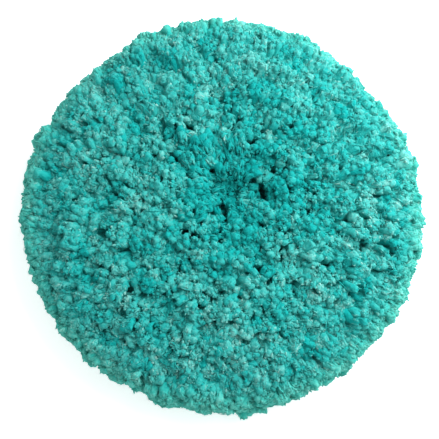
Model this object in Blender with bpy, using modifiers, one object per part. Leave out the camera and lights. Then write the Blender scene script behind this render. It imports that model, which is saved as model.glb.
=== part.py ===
"""Tufted wool polishing pad with a hook-and-loop back, lying on its loop face.

Units are metres and +Z is up, towards the wool. The origin is the centre of the loop face, which the
polisher's backing plate grips. Every layer is its own object, and each ring of tufts is one too.
"""

import math

import bpy
from mathutils import Vector

# Driving sizes of the whole pad
PAD_RADIUS = 0.1145
PAD_HEIGHT = 0.0385
HOLE_RADIUS = 0.0100
TUFT_ROWS = 12

# Touching pieces keep this gap between their meshes
GAP = 0.0003

# The sewn backing: loop fabric, felt, latex and canvas, with tape folded round both edges
LOOP_THICKNESS = 0.0018
FELT_THICKNESS = 0.0020
LATEX_THICKNESS = 0.0008
CANVAS_THICKNESS = 0.0012
TAPE_THICKNESS = 0.0009
TAPE_LEG = 0.0077
CENTRE_TAPE_LEG = 0.0048
BACKING_RADIUS = 0.0895
SEAM_GROOVE_DEPTH = 0.0009
SEAM_GROOVE_HALF_WIDTH = 0.0012

# Heights and radii that follow from those layers
FELT_BOTTOM = LOOP_THICKNESS + GAP
LATEX_BOTTOM = FELT_BOTTOM + FELT_THICKNESS + GAP
CANVAS_BOTTOM = LATEX_BOTTOM + LATEX_THICKNESS + GAP
CANVAS_TOP = CANVAS_BOTTOM + CANVAS_THICKNESS
TAPE_BOTTOM = FELT_BOTTOM - GAP - TAPE_THICKNESS
TAPE_TOP = CANVAS_TOP + GAP + TAPE_THICKNESS
LAYER_INNER_RADIUS = HOLE_RADIUS + TAPE_THICKNESS + GAP
TAPE_OUTER_RADIUS = BACKING_RADIUS + GAP + TAPE_THICKNESS
LOOP_OUTER_RADIUS = TAPE_OUTER_RADIUS - TAPE_LEG - 2 * GAP
LOOP_INNER_RADIUS = HOLE_RADIUS + CENTRE_TAPE_LEG + 2 * GAP

# Seams, each one thread that steps in and out between stitches
THREAD_RADIUS = 0.00022
STITCH_STEP = 0.0004
LOOP_SEAM_INSET = 0.0040
CENTRE_SEAM_INSET = 0.00264
EDGE_SEAM_RADIUS = TAPE_OUTER_RADIUS - TAPE_LEG / 2
EDGE_STITCHES = 40
CENTRE_SEAM_RADIUS = HOLE_RADIUS + CENTRE_SEAM_INSET
CENTRE_STITCHES = 12
LOOP_OUTER_SEAM_RADIUS = LOOP_OUTER_RADIUS - LOOP_SEAM_INSET
LOOP_OUTER_STITCHES = 40
LOOP_INNER_SEAM_RADIUS = LOOP_INNER_RADIUS + LOOP_SEAM_INSET
LOOP_INNER_STITCHES = 16

# The wool pile: where its roots stand on the canvas, and the rounded body that its tips make
ROOT_BOTTOM = CANVAS_TOP + GAP
ROOT_INNER_RADIUS = LOOP_INNER_RADIUS + GAP
ROOT_OUTER_RADIUS = LOOP_OUTER_RADIUS - GAP
RIM_HEIGHT = 0.0190
SKIRT_BOTTOM = 0.0004
CROWN_POWER = 3.2
SKIRT_POWER = 5.0
SKIRT_TURN = math.radians(47)
DIMPLE_DEPTH = 0.0100
DIMPLE_RADIUS = 0.0220
EYE_RADIUS = 0.0015
ROOT_RISE = 0.0100
TIP_RUN = 0.0080
INNER_LEAN = math.radians(-35)
OUTER_LEAN = math.radians(150)
LEAN_POWER = 1.6
SURFACE_POINTS = 400
SURFACE_EASE = 1.5
WALL_POINTS = 4
TIP_POINTS = 2

TURNED_STEPS = 32

# Name, linear colour and roughness
FINISHES = {
    "pile_yarn": ((0.028, 0.366, 0.333), 0.95),
    "canvas": ((0.55, 0.53, 0.47), 0.90),
    "latex": ((0.70, 0.66, 0.52), 0.60),
    "felt": ((0.42, 0.42, 0.40), 0.95),
    "loop_fabric": ((0.74, 0.75, 0.74), 0.90),
    "binding_tape": ((0.035, 0.30, 0.28), 0.85),
    "thread": ((0.80, 0.81, 0.78), 0.60),
}


def clear_scene():
    """Removes every object that the file opened with."""
    for thing in list(bpy.data.objects):
        bpy.data.objects.remove(thing, do_unlink=True)


def new_collection(name):
    """A collection for the pad's pieces, linked to the scene."""
    made = bpy.data.collections.new(name)
    bpy.context.scene.collection.children.link(made)
    return made


def finish(name):
    """The Principled material of that name, made once."""
    found = bpy.data.materials.get(name)
    if found:
        return found
    colour, roughness = FINISHES[name]
    made = bpy.data.materials.new(name)
    made.use_nodes = True
    shader = made.node_tree.nodes["Principled BSDF"]
    shader.inputs["Base Color"].default_value = (*colour, 1.0)
    shader.inputs["Roughness"].default_value = roughness
    shader.inputs["Metallic"].default_value = 0.0
    return made


def place(name, mesh, finish_name, collection):
    """A named object for a mesh, with its material."""
    made = bpy.data.objects.new(name, mesh)
    mesh.materials.append(finish(finish_name))
    collection.objects.link(made)
    return made


def turned_ring(name, outline, finish_name, collection):
    """A ring turned about Z from a closed outline of (radius, height), listed down its outer side first."""
    mesh = bpy.data.meshes.new(name)
    count = len(outline)
    edges = [(i, (i + 1) % count) for i in range(count)]
    mesh.from_pydata([(r, 0, z) for r, z in outline], edges, [])
    made = place(name, mesh, finish_name, collection)
    turn = made.modifiers.new("turn", "SCREW")
    turn.axis = "Z"
    turn.angle = 2 * math.pi
    turn.steps = turn.render_steps = TURNED_STEPS
    turn.use_merge_vertices = True
    turn.merge_threshold = 0.00001
    turn.use_smooth_shade = True
    return made


def flat_ring(name, inner, outer, bottom, top, finish_name, collection):
    """A flat layer: a ring with a square section."""
    outline = [(outer, top), (outer, bottom), (inner, bottom), (inner, top)]
    return turned_ring(name, outline, finish_name, collection)


def loop_disc(collection):
    """The loop fabric, with a groove in its lower face under each of its two seams."""
    outline = [(LOOP_OUTER_RADIUS, LOOP_THICKNESS), (LOOP_OUTER_RADIUS, 0)]
    for seam in (LOOP_OUTER_SEAM_RADIUS, LOOP_INNER_SEAM_RADIUS):
        outer = seam + SEAM_GROOVE_HALF_WIDTH
        inner = seam - SEAM_GROOVE_HALF_WIDTH
        outline += [(outer, 0), (outer, SEAM_GROOVE_DEPTH)]
        outline += [(inner, SEAM_GROOVE_DEPTH), (inner, 0)]
    outline += [(LOOP_INNER_RADIUS, 0), (LOOP_INNER_RADIUS, LOOP_THICKNESS)]
    turned_ring("loop_disc", outline, "loop_fabric", collection)


def backing_layers(collection):
    """The felt, the latex that locks the tufts, and the canvas that they are sewn through."""
    inner = LAYER_INNER_RADIUS
    outer = BACKING_RADIUS
    flat_ring("stiffening_felt", inner, outer, FELT_BOTTOM, FELT_BOTTOM + FELT_THICKNESS, "felt", collection)
    flat_ring("latex_coat", inner, outer, LATEX_BOTTOM, LATEX_BOTTOM + LATEX_THICKNESS, "latex", collection)
    flat_ring("tufting_canvas", inner, outer, CANVAS_BOTTOM, CANVAS_TOP, "canvas", collection)


def folded_tape(name, wall_radius, leg_end, collection):
    """Tape folded round the layers' edge: a wall at wall_radius, and two legs that run to leg_end."""
    thickness = TAPE_THICKNESS if leg_end > wall_radius else -TAPE_THICKNESS
    inside = wall_radius + thickness
    upper = TAPE_TOP - TAPE_THICKNESS
    lower = TAPE_BOTTOM + TAPE_THICKNESS
    outline = [
        (wall_radius, TAPE_TOP),
        (wall_radius, TAPE_BOTTOM),
        (leg_end, TAPE_BOTTOM),
        (leg_end, lower),
        (inside, lower),
        (inside, upper),
        (leg_end, upper),
        (leg_end, TAPE_TOP),
    ]
    if leg_end > wall_radius:
        outline.reverse()
    turned_ring(name, outline, "binding_tape", collection)


def edge_tapes(collection):
    """The tape round the outer edge of the backing, and the tape round the centring hole."""
    folded_tape("edge_binding", TAPE_OUTER_RADIUS, TAPE_OUTER_RADIUS - TAPE_LEG, collection)
    folded_tape("centre_binding", HOLE_RADIUS, HOLE_RADIUS + CENTRE_TAPE_LEG, collection)


def seam(name, radius, height, count, collection):
    """One continuous thread round the pad, that steps in and out from stitch to stitch."""
    data = bpy.data.curves.new(name, "CURVE")
    data.dimensions = "3D"
    data.bevel_depth = THREAD_RADIUS
    data.bevel_resolution = 0
    thread = data.splines.new("POLY")
    thread.points.add(2 * count - 1)
    for i, point in enumerate(thread.points):
        angle = math.pi * i / count
        reach = radius + (STITCH_STEP if i % 2 else -STITCH_STEP)
        point.co = (reach * math.cos(angle), reach * math.sin(angle), height, 1)
    thread.use_cyclic_u = True
    place(name, data, "thread", collection)


def seams(collection):
    """The six seams, above and below the tapes and in the loop fabric's two grooves."""
    under_tape = TAPE_BOTTOM - GAP - THREAD_RADIUS
    over_tape = TAPE_TOP + GAP + THREAD_RADIUS
    in_groove = SEAM_GROOVE_DEPTH - GAP - THREAD_RADIUS
    seam("edge_seam_bobbin_thread", EDGE_SEAM_RADIUS, under_tape, EDGE_STITCHES, collection)
    seam("edge_seam_needle_thread", EDGE_SEAM_RADIUS, over_tape, EDGE_STITCHES, collection)
    seam("centre_seam_bobbin_thread", CENTRE_SEAM_RADIUS, under_tape, CENTRE_STITCHES, collection)
    seam("centre_seam_needle_thread", CENTRE_SEAM_RADIUS, over_tape, CENTRE_STITCHES, collection)
    seam("loop_disc_outer_seam", LOOP_OUTER_SEAM_RADIUS, in_groove, LOOP_OUTER_STITCHES, collection)
    seam("loop_disc_inner_seam", LOOP_INNER_SEAM_RADIUS, in_groove, LOOP_INNER_STITCHES, collection)


def pile_surface():
    """(radius, height) along the outside of the pile, from the eye at its centre, over the rim and under it.

    The points are eased towards the centre, where the crown is flat and even turns would leave wide steps.
    """
    points = []
    for i in range(SURFACE_POINTS + 1):
        turn = math.pi / 2 - (math.pi / 2 + SKIRT_TURN) * (i / SURFACE_POINTS) ** SURFACE_EASE
        power = CROWN_POWER if turn > 0 else SKIRT_POWER
        radius = PAD_RADIUS * abs(math.cos(turn)) ** (2 / power)
        rise = abs(math.sin(turn)) ** (2 / power)
        if turn > 0:
            height = RIM_HEIGHT + (PAD_HEIGHT - RIM_HEIGHT) * rise
        else:
            height = RIM_HEIGHT - (RIM_HEIGHT - SKIRT_BOTTOM) * rise
        height -= DIMPLE_DEPTH * math.exp(-((radius / DIMPLE_RADIUS) ** 2))
        if radius >= EYE_RADIUS:
            points.append(Vector((radius, height)))
    return points


def area_shares(points):
    """For each point of the surface, the share of the whole turned area that lies before it."""
    totals = [0.0]
    for a, b in zip(points, points[1:]):
        totals.append(totals[-1] + (b - a).length * (a.x + b.x) / 2)
    return [total / totals[-1] for total in totals]


def surface_at(share, points, shares):
    """The point at that share of the pile's area."""
    after = next((i for i, s in enumerate(shares) if s > share), len(shares) - 1)
    a, b = points[after - 1], points[after]
    blend = (share - shares[after - 1]) / (shares[after] - shares[after - 1])
    return a.lerp(b, blend)


def tip_share(row):
    """The share of the pile's area inside a row number, so that the tips lie as densely as their roots."""
    root = root_radius(row)
    whole = ROOT_OUTER_RADIUS**2 - ROOT_INNER_RADIUS**2
    return (root**2 - ROOT_INNER_RADIUS**2) / whole


def root_radius(row):
    """The radius on the canvas of a row number, which may lie between two rows."""
    return ROOT_INNER_RADIUS + (ROOT_OUTER_RADIUS - ROOT_INNER_RADIUS) * row / TUFT_ROWS


def wall(row, shift, points, shares):
    """The way the yarn bends from canvas to surface at a row number, root first, moved outward by shift."""
    root = Vector((root_radius(row), ROOT_BOTTOM))
    tip = surface_at(tip_share(row), points, shares)
    lean = INNER_LEAN + (OUTER_LEAN - INNER_LEAN) * (row / TUFT_ROWS) ** LEAN_POWER
    rise = root + Vector((0, ROOT_RISE))
    run = tip - Vector((math.sin(lean), math.cos(lean))) * TIP_RUN
    found = []
    for i in range(WALL_POINTS + 1):
        t = i / WALL_POINTS
        s = 1 - t
        place_on_way = root * s**3 + rise * 3 * s * s * t + run * 3 * s * t * t + tip * t**3
        way = (rise - root) * s * s + (run - rise) * 2 * s * t + (tip - run) * t * t
        way.normalize()
        found.append(place_on_way + Vector((way.y, -way.x)) * shift)
    return found


def tuft_row(number, points, shares, collection):
    """One ring of tufts as a plain solid ring, from its roots on the canvas to its tips on the surface."""
    outer = wall(number, -GAP / 2, points, shares)
    inner = wall(number - 1, GAP / 2, points, shares)
    tips = []
    for i in range(1, TIP_POINTS + 1):
        row = number - 1 + i / (TIP_POINTS + 1)
        tips.append(surface_at(tip_share(row), points, shares))
    outline = outer[::-1] + inner + tips
    turned_ring(f"tuft_row_{number:02d}", outline, "pile_yarn", collection)


def pile(collection):
    """Every ring of tufts, numbered from the centre out."""
    points = pile_surface()
    shares = area_shares(points)
    for number in range(1, TUFT_ROWS + 1):
        tuft_row(number, points, shares, collection)


def build():
    """Makes the whole pad."""
    clear_scene()
    pad = new_collection("Polishing pad")
    loop_disc(pad)
    backing_layers(pad)
    edge_tapes(pad)
    seams(pad)
    pile(pad)


build()
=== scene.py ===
"""Looks for the tufted wool polishing pad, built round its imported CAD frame.

The wool is real geometry: every tuft is a twisted yarn whose plies rise from the canvas, bend over and
open at the tip. The loop fabric, tape and stitches of the back are pieces of their own too.
"""
import math

import bpy
import numpy as np
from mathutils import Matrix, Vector, kdtree


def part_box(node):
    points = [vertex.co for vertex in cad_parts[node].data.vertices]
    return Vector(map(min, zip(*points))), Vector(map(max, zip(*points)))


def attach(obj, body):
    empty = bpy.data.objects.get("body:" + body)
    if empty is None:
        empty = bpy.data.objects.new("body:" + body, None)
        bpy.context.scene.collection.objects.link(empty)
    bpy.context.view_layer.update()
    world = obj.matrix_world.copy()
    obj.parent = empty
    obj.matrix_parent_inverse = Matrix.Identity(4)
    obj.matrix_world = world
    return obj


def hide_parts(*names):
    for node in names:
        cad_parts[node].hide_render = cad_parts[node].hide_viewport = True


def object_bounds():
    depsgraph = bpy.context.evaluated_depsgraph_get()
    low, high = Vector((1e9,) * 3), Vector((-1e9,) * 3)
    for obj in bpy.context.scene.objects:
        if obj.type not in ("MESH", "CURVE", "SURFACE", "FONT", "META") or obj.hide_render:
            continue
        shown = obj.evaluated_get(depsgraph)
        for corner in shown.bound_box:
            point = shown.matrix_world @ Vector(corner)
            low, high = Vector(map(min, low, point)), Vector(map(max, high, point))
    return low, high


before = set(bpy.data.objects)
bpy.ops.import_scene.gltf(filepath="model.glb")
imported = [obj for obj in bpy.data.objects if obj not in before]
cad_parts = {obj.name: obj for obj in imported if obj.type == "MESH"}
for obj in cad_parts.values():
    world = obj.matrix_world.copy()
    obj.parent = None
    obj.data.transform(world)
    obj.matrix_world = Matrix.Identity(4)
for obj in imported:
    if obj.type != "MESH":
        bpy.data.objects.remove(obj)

CAD_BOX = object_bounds()
SEED = 11

# The pile, as the CAD rings make it
ROWS = 12
PAD_RADIUS = CAD_BOX[1][0]
PILE_TOP = CAD_BOX[1][2] + 0.0003
ROOT_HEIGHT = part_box("tufting_canvas")[1][2] + 0.0003
ROOT_INNER_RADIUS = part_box("centre_binding")[1][0] + 0.0009
ROOT_OUTER_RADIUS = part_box("loop_disc")[1][0]
RIM_HEIGHT = 0.0190
SKIRT_BOTTOM = 0.0004
CROWN_POWER = 3.2
SKIRT_POWER = 5.0
SKIRT_TURN = math.radians(47)
PROFILE_POINTS = 900
PROFILE_EASE = 1.5
ROOT_RISE = 0.0100
TIP_RUN = 0.0080
INNER_LEAN = math.radians(-35)
OUTER_LEAN = math.radians(150)
LEAN_POWER = 1.6
UPRIGHT = 0.8

# How much the roots, the tips, the leans and the ways in which the plies part stray at random
ROOT_JITTER = 0.0004
TIP_JITTER = 0.0010
LEAN_JITTER = 0.16
PARTING_JITTER = 0.4

# The eye, where the tufts close over the centring hole, the hollow that they make there, how far below the
# pile's top it is full, and how far and how much the tufts round it lean towards it
EYE = np.array([0.0068, 0.0054])
DIMPLE_DEPTH = 0.0100
DIMPLE_RADIUS = 0.0200
DIMPLE_FADE = 0.004
EYE_REACH = 0.034
EYE_LEAN = 0.9

# Hills of the pile's surface: seed, wavelength and height, the share that they lose towards the rim and
# where, and each ply's own rise
SWELL = [
    (5, 0.022, 0.0013),
    (6, 0.010, 0.0012),
]
RIM_LOSS = 0.6
RIM_BAND = (PAD_RADIUS - 0.020, PAD_RADIUS - 0.002)
OWN_RISE = 0.0003

# Yarn
TOP_TUFTS = 1320
PLIES = 4
PLY_SIDES = 8
PLY_RINGS = 13
RING_EASE = 1.75
PLY_RADIUS = 0.00125
BUD_RADIUS = 0.00215
BUD_SIZES = (0.75, 1.25)
PLY_SPREAD = 0.0017
PLY_SPACING = 0.00335
SPACING_CHANGE = 0.22
SPACING_SEED = 4
SPACING_WAVELENGTH = 0.014
SPACING_ROUNDS = 9
SPACING_PUSH = 0.35
TIP_STANDS = 0.85
TIP_PACE = 3 * TIP_RUN
TWIST = 11.0
TWIST_WIDTH = 1.15

# Where along a ply it leaves the twist, and where it swells to its bud
OPENS = (0.38, 0.88)
SWELLS = (0.30, 0.82)

# How a ply's tip curls over: where along the ply, how far, how much it drops and how much of it is given
# back lower down. Then the pull towards the eye and the added reach, near the eye and where combed
CURLS = (0.76, 1.06)
CURL_REACH = (0.0006, 0.0042)
CURL_DROP = 0.55
CURL_BACK = 0.5
EYE_PULL = 1.8
EYE_CURL = 0.5
COMBED_PULL = 4.0
COMBED_CURL = 0.0022

# Lumps on a ply: how many around, how fast they wind along, and depth
LUMPS = [
    (3, 15, 0.11),
    (2, -22, 0.08),
    (1, 62, 0.10),
    (-2, 118, 0.06),
]

# Swelling where the fibres felt: seed, wavelength and share of the radius
FELTING = [
    (21, 0.0050, 0.22),
    (22, 0.0024, 0.20),
    (23, 0.0014, 0.10),
]

# Dark gaps between the tufts: the middle's x and y, half length, degrees from the Y axis, and clearance.
# Then how far a gap tapers past its ends, its floor, the share of the hollow that lowers the floor, how
# gently it closes below that, the share of it that strands leave open, and the depths over which painted
# shade darkens the wool in it
DARK_GAPS = [
    (0.0007, -0.0031, 0.0056, 14, 0.0043),
    (0.0221, 0.0069, 0.0056, 16, 0.0041),
    (-0.0070, 0.0196, 0.0022, 80, 0.0030),
    (-0.0262, 0.0256, 0.0034, 50, 0.0030),
    (0.0180, -0.0362, 0.0028, 70, 0.0031),
    (0.0160, 0.0352, 0.0036, -80, 0.0036),
    (-0.0185, 0.0436, 0.0030, 20, 0.0036),
    (-0.0502, -0.0470, 0.0030, 0, 0.0036),
    (0.0758, -0.0234, 0.0030, 0, 0.0038),
    (0.0904, -0.0248, 0.0050, 40, 0.0036),
    (0.0547, -0.0339, 0.0032, 85, 0.0036),
    (0.0677, -0.0090, 0.0032, 80, 0.0036),
]
GAP_TAPER = 0.0015
GAP_FLOOR = PILE_TOP - 0.016
GAP_FLOOR_DROP = 0.15
GAP_FLOOR_FADE = 0.006
GAP_KEPT_OPEN = 0.45
GAP_SHADE_DEPTHS = (0.0030, 0.0085)

# Where the tips are combed towards the eye: middle, half width and half length, and how far from the eye
# the combing starts and is full
COMBED = np.array([-0.0040, 0.0370])
COMBED_SPREAD = np.array([0.022, 0.018])
COMBED_FROM_EYE = (0.006, 0.020)

# Where the pile's edge is pressed in, or swells out: degrees about Z, half width in degrees, and depth, and
# how far in from the edge it starts
PRESSED_IN = [
    (42, 17, 0.0050),
    (135, 13, 0.0022),
    (180, 16, -0.0014),
    (270, 14, -0.0014),
]
PRESSED_BAND = 0.040

# A second, lower layer of tufts round the eye, which fills the throat
DEEP_TUFTS = 60
DEEP_REACH = 0.018
DEEP_DROP = 0.0085
DEEP_ROOT_SHARE = 0.05
DEEP_EYE_SHARE = 0.7
TUFTS = TOP_TUFTS + DEEP_TUFTS

# The backing, as the CAD layers make it, and the pitch of its cloths' threads
WEAVE_PITCH = 0.0011
HOLE_RADIUS = 0.0100
TAPE_THICKNESS = 0.0009
THREAD_RADIUS = 0.00022
STITCH_STEP = 0.0004
LAYER_INNER_RADIUS = HOLE_RADIUS + TAPE_THICKNESS + 0.0003
LOOP_INNER_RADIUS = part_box("centre_binding")[1][0] + 0.0006
LOOP_CLOTH_BOTTOM = 0.0012

# Skins of the layers, the tapes and the loop cloth: steps between points, sectors round Z, hills (seed,
# wavelength and height), how wide and deep a seam pulls them in, and how far they stay inside the CAD
LAYER_STEP = 0.0012
LAYER_SECTORS = 220
TAPE_STEP = 0.00045
TAPE_HILLS = [(43, 0.007, 0.00006)]
TAPE_PULL_WIDTH = 0.0011
TAPE_PULL_DEPTH = 0.00022
TAPE_INSET = 0.00008
LOOP_STEP = 0.0010
LOOP_SECTORS = 300
LOOP_HILLS = [(44, 0.005, 0.00004)]
LOOP_PULL_WIDTH = 0.0012
LOOP_PULL_DEPTH = 0.00012
LOOP_INSET = 0.00004

# Seams: how many stitches each has, and whether they show on the side below
EDGE_STITCHES = 160
CENTRE_STITCHES = 24
SEAMS = [
    ("edge_seam_needle_thread", EDGE_STITCHES, False),
    ("edge_seam_bobbin_thread", EDGE_STITCHES, True),
    ("centre_seam_needle_thread", CENTRE_STITCHES, False),
    ("centre_seam_bobbin_thread", CENTRE_STITCHES, True),
    ("loop_disc_outer_seam", 144, True),
    ("loop_disc_inner_seam", 36, True),
]
STITCH_RINGS = 13
STITCH_SIDES = 8
STITCH_SHARE = 0.88
STITCH_DEPTH = 0.0011
STITCH_SLANT = 0.00012
THREAD_PLIES = 3
THREAD_TWIST = 16

# Loops of the loop fabric, and how far from its edges and its seams they stand
LOOPS = 7500
LOOP_RINGS = 5
LOOP_WIDTH = (0.0007, 0.0016)
LOOP_DROP = (0.0013, 0.0021)
LOOP_RADIUS = (0.00009, 0.00014)
LOOP_MARGIN = 0.0008
LOOP_SEAM_MARGIN = 0.0013

# The lowest that the wool comes to the surface that the pad lies on
LOWEST = 0.0001

# Locks that a tip opens into, strands that cross from tip to tip, and loose fibres that stand off them
LOCKS_PER_PLY = 6
LOCK_RINGS = 5
LOCK_SIDES = 4
LOCK_RADIUS = 0.00056
LOCK_TAPER = np.array([0.6, 0.95, 1.1, 1.0, 0.45])
LOCK_FEET = (PLY_RINGS - 5.2, PLY_RINGS - 3.8)
LOCK_BEND = PLY_RINGS - 2.4
LOCK_SPREAD = 0.0021
LOCK_CURL = 200
LOCK_COMBING = (1.8, 0.7)
CROSSINGS = 30000
CROSSING_RINGS = 5
CROSSING_RADIUS = 0.00025
CROSSING_RISE = (0.0001, 0.0011)
CROSSING_FEET = (PLY_RINGS - 7, PLY_RINGS - 2.5)
FUZZ_FIBRES = 16000
FUZZ_LENGTH = (0.0009, 0.0026)
FUZZ_RADII = (0.00009, 0.00008, 0.00006, 0.00002)
FUZZ_FEET = (PLY_RINGS - 7, PLY_RINGS - 2)
FUZZ_LOWEST = 0.004
STRAND_SIDES = 3

# How much painted shade darkens a strand on the side that looks into the pile
INWARD_SHADE_SHARE = 0.22

# Tone from 0, deepest, to 1, palest: its middle, the spread between tufts and between plies, its patches
# (seed, wavelength and height), how much painted shade deepens it in the hollow at the eye, and each
# strand's own shift and spread
TONE = 0.5
TUFT_TONES = 0.06
PLY_TONES = 0.055
TONE_PATCHES = [
    (31, 0.011, 0.06),
    (32, 0.040, 0.05),
]
EYE_SHADE = -0.26
LOCK_TONE = (0.05, 0.09)
CROSSING_TONE = (0.0, 0.08)
FUZZ_TONE = (0.0, 0.10)

# The wool's dye from its deepest to its palest shade, the paler tint of the painted light at the rim, and
# the painted shade low in the pile, on the plies' inward sides and deep in the dark gaps
DYE = [
    (0.0, (0.000, 0.262, 0.252)),
    (0.35, (0.012, 0.360, 0.340)),
    (0.60, (0.088, 0.432, 0.395)),
    (1.0, (0.360, 0.590, 0.535)),
]
RIM_LIGHT_TINT = (0.22, 0.62, 0.49, 1)
DEPTH_SHADE = [
    (0.0, (0.10, 0.25, 0.25)),
    (0.45, (0.18, 0.66, 0.66)),
    (0.70, (0.35, 0.97, 0.97)),
    (1.0, (1.0, 1.0, 1.0)),
]

# Granules that the fibres felt into and fibres along them, both in noise cells a metre, how much the fibres
# change the tone, how much painted light pales the edge, and the painted shade in the creases between
# granules
GRAIN_SCALE = 620
FIBRE_SCALE = 1300
FIBRE_STRETCH = (1.0, 1.0, 0.45)
FIBRE_HEIGHT = 0.25
STREAK = 0.40
RIM_LIGHT_SHARE = 0.55
RIM_LIGHT_BAND = (PAD_RADIUS - 0.016, PAD_RADIUS + 0.001)
CREASE_SHADE = [
    (0.36, (0.40, 0.82, 0.83)),
    (0.56, (1.0, 1.0, 1.0)),
]

# The room: each light's place, aim, size and watts, the walls' shade from low to high, the floor's half
# side and glow, and the camera
LIGHTS = {
    "key": ((0.25, 0.16, 0.31), (0.0, 0.0, 0.02), 0.45, 3.5),
    "top": ((0.10, -0.05, 1.0), (0.0, 0.0, 0.0), 1.0, 1.4),
}
WALLS = [
    (0.30, (1.0, 1.0, 1.0)),
    (0.50, (0.34, 0.345, 0.35)),
]
FLOOR_REACH = 3.0
FLOOR_GLOW = 0.55
CAMERA_ELEVATION = math.radians(78)
CAMERA_DISTANCE = 0.586
CAMERA_AIM = Vector((-0.0020, -0.0056, 0.016))
CAMERA_LENS = 85


def unit(vectors):
    """The vectors at length 1."""
    return vectors / np.linalg.norm(vectors, axis=-1, keepdims=True)


def without(vectors, ways):
    """The vectors without their share along the unit vectors ways."""
    return vectors - ways * (vectors * ways).sum(axis=-1, keepdims=True)


def swing(first, second, turn):
    """The first direction, turned towards the second."""
    return first * np.cos(turn)[..., None] + second * np.sin(turn)[..., None]


def round_circle(count):
    """Angles spaced evenly round a circle."""
    return np.arange(count) * 2 * math.pi / count


def ease(values, low, high):
    """0 below low, 1 above high, and smooth between them."""
    t = np.clip((values - low) / (high - low), 0, 1)
    return t * t * (3 - 2 * t)


def around_z(radius, angle, height):
    """Points at radii, angles and heights about Z."""
    return np.stack(np.broadcast_arrays(radius * np.cos(angle), radius * np.sin(angle), height), axis=-1)


def from_z(points):
    """How far each point is from the Z axis."""
    return np.linalg.norm(points[..., :2], axis=-1)


def from_eye(points):
    """How far each point is from the eye, seen from above."""
    return np.linalg.norm(points[:, :2] - EYE, axis=1)


def golden(order):
    """Angles that spread points evenly about Z, in the order in which they are laid."""
    return order * math.pi * (3 - math.sqrt(5))


def ripples(points, seed, wavelength, waves=14):
    """A smooth random number from about -1 to 1 at each point, with hills about a wavelength apart."""
    rng = np.random.default_rng(seed)
    ways = unit(rng.normal(size=(waves, 3)))
    paces = 2 * math.pi / wavelength * rng.uniform(0.6, 1.5, waves)
    starts = rng.uniform(0, 2 * math.pi, waves)
    return np.sin(points @ ways.T * paces + starts).sum(axis=1) / math.sqrt(waves)


def hills(points, kinds):
    """The sum of several ripples at each point, each kind a seed, a wavelength and a height."""
    return sum(height * ripples(points, seed, wavelength) for seed, wavelength, height in kinds)


# ---- the pile's surface

def pile_profile():
    """Radius, height, direction and area share along the pile's surface, from its centre to its skirt."""
    turn = math.pi / 2 - (math.pi / 2 + SKIRT_TURN) * np.linspace(0, 1, PROFILE_POINTS) ** PROFILE_EASE
    power = np.where(turn > 0, CROWN_POWER, SKIRT_POWER)
    radius = PAD_RADIUS * np.abs(np.cos(turn)) ** (2 / power)
    rise = np.abs(np.sin(turn)) ** (2 / power)
    above = RIM_HEIGHT + (PILE_TOP - RIM_HEIGHT) * rise
    below = RIM_HEIGHT - (RIM_HEIGHT - SKIRT_BOTTOM) * rise
    height = np.where(turn > 0, above, below)
    along = unit(np.stack([np.gradient(radius), np.gradient(height)], axis=1))
    steps = np.hypot(np.diff(radius), np.diff(height)) * (radius[1:] + radius[:-1]) / 2
    share = np.concatenate([[0], np.cumsum(steps)])
    return radius, height, along, share / share[-1]


def surface_points(share, angle, profile):
    """The points and outward normals of the pile's surface at area shares and angles about Z."""
    radius, height, along, shares = profile
    r = np.interp(share, shares, radius)
    z = np.interp(share, shares, height)
    ahead_r = np.interp(share, shares, along[:, 0])
    ahead_z = np.interp(share, shares, along[:, 1])
    return around_z(r, angle, z), unit(around_z(-ahead_z, angle, ahead_r))


def hollow(points):
    """How far the crown over each point is lowered by the hollow round the eye."""
    return DIMPLE_DEPTH * np.exp(-((from_eye(points) / DIMPLE_RADIUS) ** 2))


def dimple(points):
    """How far the hollow lowers each point: less down the rim, and not at all under it."""
    return hollow(points) * ease(points[:, 2], RIM_HEIGHT, PILE_TOP - DIMPLE_FADE)


# ---- where the tufts stand

def pairs_within(points, reach):
    """The index pairs of points that are nearer to each other than reach."""
    tree = kdtree.KDTree(len(points))
    for i, point in enumerate(points):
        tree.insert(point, i)
    tree.balance()
    found = [(i, j) for i, point in enumerate(points) for _, j, _ in tree.find_range(point, reach) if j > i]
    return np.array(found)


def combing(points):
    """1 where the tips are combed towards the eye, and 0 far from there and at the eye itself."""
    beyond_eye = ease(from_eye(points), *COMBED_FROM_EYE)
    return np.exp(-(((points[:, :2] - COMBED) / COMBED_SPREAD) ** 2).sum(axis=1)) * beyond_eye


def press_edge(points):
    """Moves points near the pile's outer edge in or out, by the depths in PRESSED_IN."""
    angle = np.arctan2(points[:, 1], points[:, 0])
    radius = from_z(points)
    depth = np.zeros(len(points))
    for middle, half_width, most in PRESSED_IN:
        away = (angle - math.radians(middle) + math.pi) % (2 * math.pi) - math.pi
        depth += most * np.exp(-((away / math.radians(half_width)) ** 2))
    depth *= ease(radius, PAD_RADIUS - PRESSED_BAND, PAD_RADIUS)
    points[:, :2] *= (1 - depth / np.maximum(radius, 0.001))[:, None]
    return points


def crowding(points):
    """How much of the usual spacing and size the yarn ends have at each point."""
    return 1 + SPACING_CHANGE * np.clip(ripples(points, SPACING_SEED, SPACING_WAVELENGTH), -2, 2)


def press_apart(points, normals):
    """Moves points along the surface until they lie about PLY_SPACING apart."""
    for _ in range(SPACING_ROUNDS):
        pairs = pairs_within(points, PLY_SPACING * (1 + 2 * SPACING_CHANGE))
        between = points[pairs[:, 0]] - points[pairs[:, 1]]
        distance = np.maximum(np.linalg.norm(between, axis=1, keepdims=True), 1e-6)
        own = crowding(points)
        wanted = PLY_SPACING * (own[pairs[:, 0]] + own[pairs[:, 1]])[:, None] / 2
        push = between / distance * np.maximum(wanted - distance, 0) * SPACING_PUSH
        move = np.zeros_like(points)
        np.add.at(move, pairs[:, 0], push)
        np.add.at(move, pairs[:, 1], -push)
        points = points + without(move, normals)
    return points


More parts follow.
